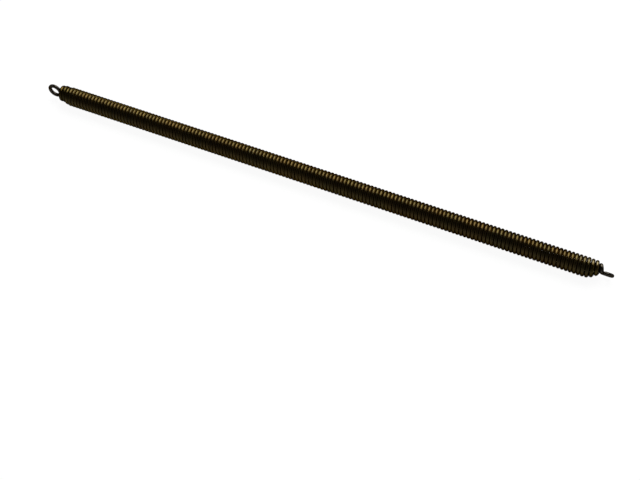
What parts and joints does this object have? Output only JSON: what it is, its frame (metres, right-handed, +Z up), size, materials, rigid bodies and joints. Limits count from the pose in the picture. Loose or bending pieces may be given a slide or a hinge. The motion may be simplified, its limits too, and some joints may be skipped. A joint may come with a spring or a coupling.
{
  "type": "extension spring",
  "caption": "Long close-wound extension spring of dark round wire, with a loop bent out over the centre at each end.",
  "frame": {"origin": "on the surface that the spring lies on, under the middle of its length", "axes": "+X along the coil towards the right-hand loop, +Z up from the surface"},
  "size_m": [0.1634, 0.0052, 0.0052],
  "materials": {
    "spring_wire": "dark oil-tempered spring wire with a bronze-brown oxide skin, semi-gloss"
  },
  "bodies": {
    "root": {"spring": "spring_wire"}
  },
  "joints": []
}
